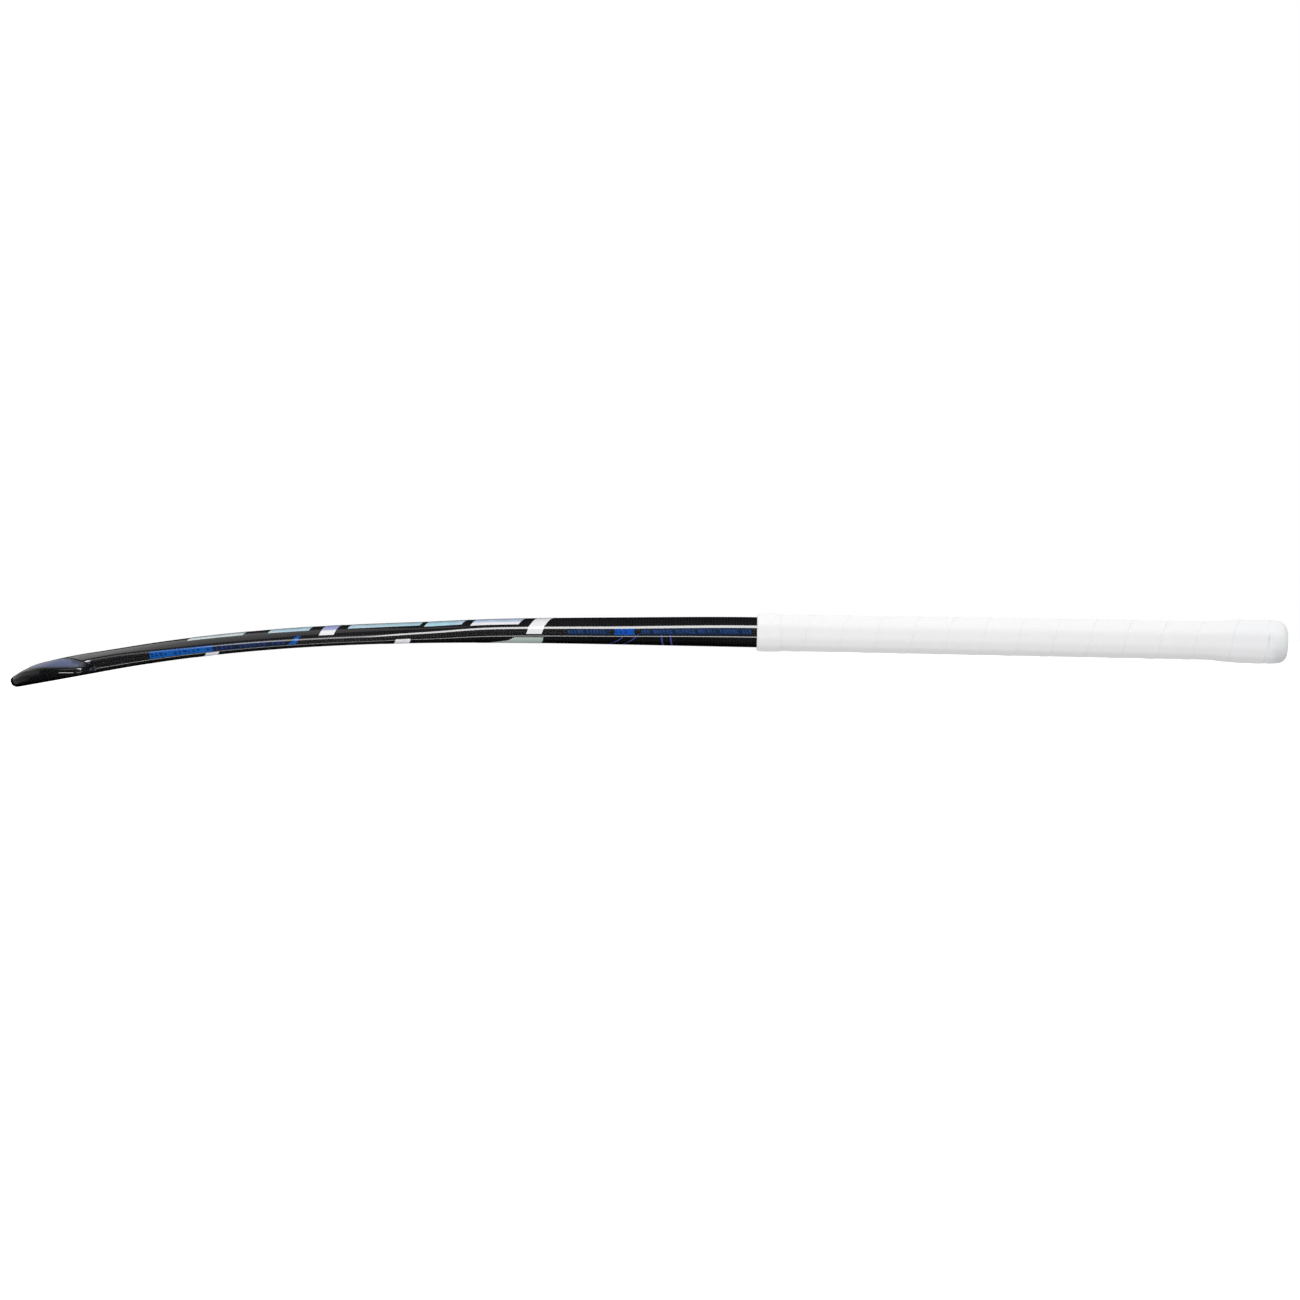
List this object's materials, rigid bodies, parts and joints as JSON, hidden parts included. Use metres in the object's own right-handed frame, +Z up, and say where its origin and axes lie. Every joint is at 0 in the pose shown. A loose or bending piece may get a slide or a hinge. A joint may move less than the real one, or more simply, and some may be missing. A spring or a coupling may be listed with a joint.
{
  "type": "field hockey stick",
  "caption": "Composite field hockey stick with a hooked head, bowed hollow carbon shaft, printed foil bands and a white wound grip, lying on its flat face.",
  "frame": {"origin": "middle of the footprint, on the surface that the stick lies on with its playing face down", "axes": "+X along the stick from the head to the butt, -Y towards the toe, +Z up out of the rounded back"},
  "size_m": [0.9284, 0.1088, 0.0436],
  "materials": {
    "carbon_laminate": "black woven carbon under clear lacquer",
    "aramid_laminate": "raw woven aramid, resin filled",
    "core_foam": "closed-cell foam",
    "glass_laminate": "translucent glass laminate",
    "cap_rubber": "moulded, satin",
    "pommel_foam": "foam tape",
    "grip_tape": "soft white polyurethane, fine grain",
    "finishing_tape": "white stretch tape",
    "foil_film": "iridescent silver-blue under lacquer",
    "white_film": "gloss print under lacquer",
    "blue_film": "gloss print under lacquer",
    "dark_blue_film": "gloss print under lacquer",
    "violet_film": "gloss print under lacquer, blue to violet"
  },
  "bodies": {
    "root": {"outer_shell": "carbon_laminate", "head_aramid_sleeve": "aramid_laminate", "head_foam_core": "core_foam", "heel_side_tube": "glass_laminate", "toe_side_tube": "glass_laminate", "heel_tube_plug": "core_foam", "toe_tube_plug": "core_foam", "butt_cap": "cap_rubber", "pommel_sleeve": "pommel_foam", "finishing_band": "finishing_tape", "grip_wrap": "grip_tape", "crown_bar_1": "foil_film", "crown_bar_2": "foil_film", "crown_bar_3": "foil_film", "crown_bar_4": "foil_film", "crown_bar_5": "foil_film", "lower_white_band": "white_film", "upper_white_band": "white_film", "side_label": "blue_film", "side_dash_strip": "dark_blue_film", "side_slash": "blue_film", "side_spec_strip": "dark_blue_film", "side_spec_block": "blue_film", "side_spec_tag": "dark_blue_film", "face_bar_1": "white_film", "face_bar_2": "white_film", "face_bar_3": "white_film", "toe_patch": "violet_film"}
  },
  "joints": []
}
